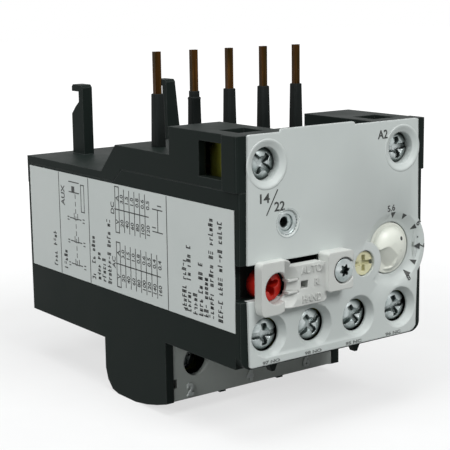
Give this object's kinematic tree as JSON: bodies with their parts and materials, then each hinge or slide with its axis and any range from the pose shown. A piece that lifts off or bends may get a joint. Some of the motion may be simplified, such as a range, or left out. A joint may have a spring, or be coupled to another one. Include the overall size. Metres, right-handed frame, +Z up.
{
  "type": "thermal overload relay",
  "caption": "Plug-in thermal overload relay with contact pins, current dial, reset and test buttons, auxiliary terminals and a load terminal block.",
  "frame": {"origin": "centre of the bounding box's footprint, at the load terminal block's lowest face", "axes": "+Z up towards the plug pins' tips, -Y out of the operating face, +X to the right seen from the front"},
  "size_m": [0.0462, 0.0826, 0.0709],
  "materials": {
    "casing_black": "satin",
    "cover_grey": "satin",
    "label_grey": "matt",
    "copper": "tarnished",
    "dial_cream": "satin",
    "button_cream": "satin",
    "button_red": "satin",
    "zinc": "zinc plated",
    "yellow_zinc": "yellow passivated",
    "spring_steel": "bright",
    "inner_plastic": "matt",
    "bimetal": "rolled",
    "bright_brass": "bright"
  },
  "bodies": {
    "housing": {"base_casing": "casing_black", "top_cover": "casing_black", "front_cover": "cover_grey", "load_terminal_cover": "cover_grey", "side_label": "label_grey", "index_plate": "cover_grey", "plate_screw": "zinc", "cover_eyelet": "zinc", "test_spring": "spring_steel", "deck_screws": "zinc", "deck_clamp_washers": "yellow_zinc", "aux_screws": "zinc", "aux_clamp_washers": "yellow_zinc", "load_screws": "zinc", "load_clamp_washers": "yellow_zinc", "aux_conductor_1": "bright_brass", "aux_conductor_2": "bright_brass", "aux_conductor_3": "bright_brass", "aux_conductor_4": "bright_brass", "plug_pin_1": "copper", "pin_sleeve_1": "casing_black", "plug_pin_2": "copper", "pin_sleeve_2": "casing_black", "plug_pin_3": "copper", "pin_sleeve_3": "casing_black", "plug_pin_4": "copper", "pin_sleeve_4": "casing_black", "plug_pin_5": "copper", "pin_sleeve_5": "casing_black", "bimetal_strip_1": "bimetal", "heater_conductor_1": "bright_brass", "bimetal_strip_2": "bimetal", "heater_conductor_2": "bright_brass", "bimetal_strip_3": "bimetal", "heater_conductor_3": "bright_brass"},
    "dial": {"setting_dial": "dial_cream", "setting_cam": "inner_plastic"},
    "selector": {"mode_rotor": "inner_plastic", "reset_spring": "spring_steel"},
    "reset": {"reset_button": "button_red"},
    "test": {"test_button": "button_cream"},
    "trip": {"trip_slide": "inner_plastic"},
    "lever": {"trip_lever": "inner_plastic"},
    "carrier": {"contact_carrier": "inner_plastic", "nc_bridge": "bright_brass", "no_bridge": "bright_brass"}
  },
  "joints": [
    {"name": "dial_turn", "type": "hinge", "parent": "housing", "child": "dial", "pos_m": [0.0144, -0.02817, 0.03275], "axis": [0, 1, 0], "range_deg": [-61, 81]},
    {"name": "selector_turn", "type": "hinge", "parent": "housing", "child": "selector", "pos_m": [-0.01575, -0.02817, 0.02995], "axis": [0, 1, 0], "range_deg": [-40, 40]},
    {"name": "reset_press", "type": "slide", "parent": "selector", "child": "reset", "axis": [0, 1, 0], "range_m": [0, 0.002], "stiffness_N_per_m": 300, "springref_m": -0.002, "deforming": ["reset_spring"]},
    {"name": "test_press", "type": "slide", "parent": "housing", "child": "test", "axis": [0, 1, 0], "range_m": [0, 0.0015], "stiffness_N_per_m": 400, "springref_m": -0.002, "deforming": ["test_spring"]},
    {"name": "trip_push", "type": "slide", "parent": "housing", "child": "trip", "axis": [1, 0, 0], "range_m": [0, 0.0015], "stiffness_N_per_m": 200, "springref_m": -0.001},
    {"name": "lever_turn", "type": "hinge", "parent": "housing", "child": "lever", "pos_m": [0.018, -0.00928, 0.02375], "axis": [0, 0, 1], "range_deg": [-9.1, 0]},
    {"name": "carrier_slide", "type": "slide", "parent": "housing", "child": "carrier", "axis": [0, 1, 0], "range_m": [0, 0.00125]}
  ],
  "couplings": [
    {"joint": "lever_turn", "follows": "trip_push", "rad_per_m": -105.3},
    {"joint": "carrier_slide", "follows": "trip_push", "ratio": 0.8}
  ]
}
